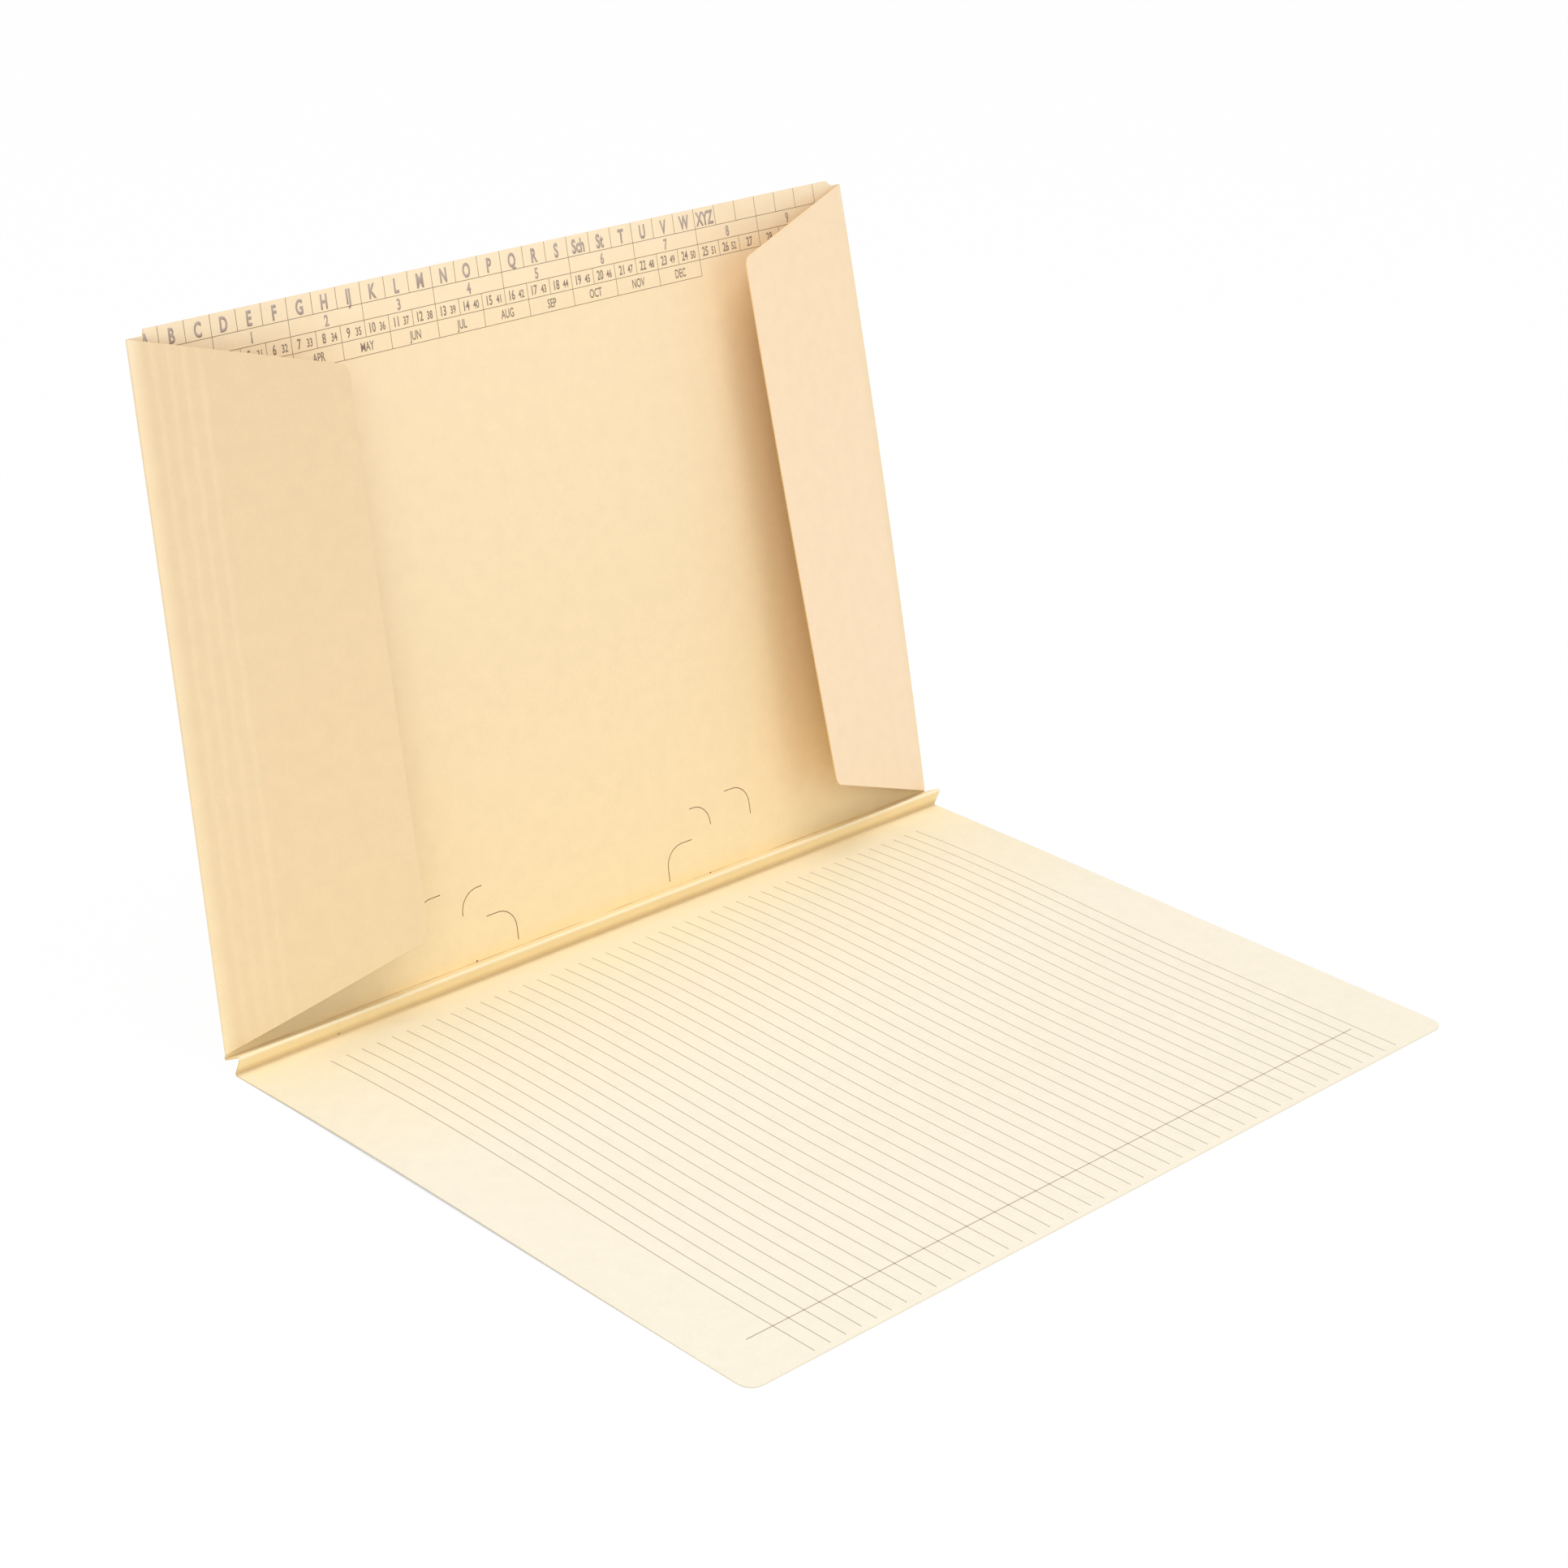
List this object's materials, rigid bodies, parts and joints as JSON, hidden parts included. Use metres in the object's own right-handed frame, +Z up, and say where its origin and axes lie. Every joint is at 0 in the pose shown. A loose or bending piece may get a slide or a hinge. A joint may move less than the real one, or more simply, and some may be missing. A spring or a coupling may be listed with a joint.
{
  "type": "organizer folder",
  "caption": "Landscape card folder standing open, with a ruled cover lying flat, a pleated spine, an upright back panel and two side flaps folded in over it.",
  "frame": {"origin": "On the table, under the middle of the standing folder's bounding box", "axes": "+X along the spine toward the right flap, +Y from the cover's front edge toward the back panel, +Z up"},
  "size_m": [0.35, 0.3232, 0.2516],
  "materials": {
    "manila_card": "matte cream card"
  },
  "bodies": {
    "root": {"folded_card": "manila_card"}
  },
  "joints": []
}
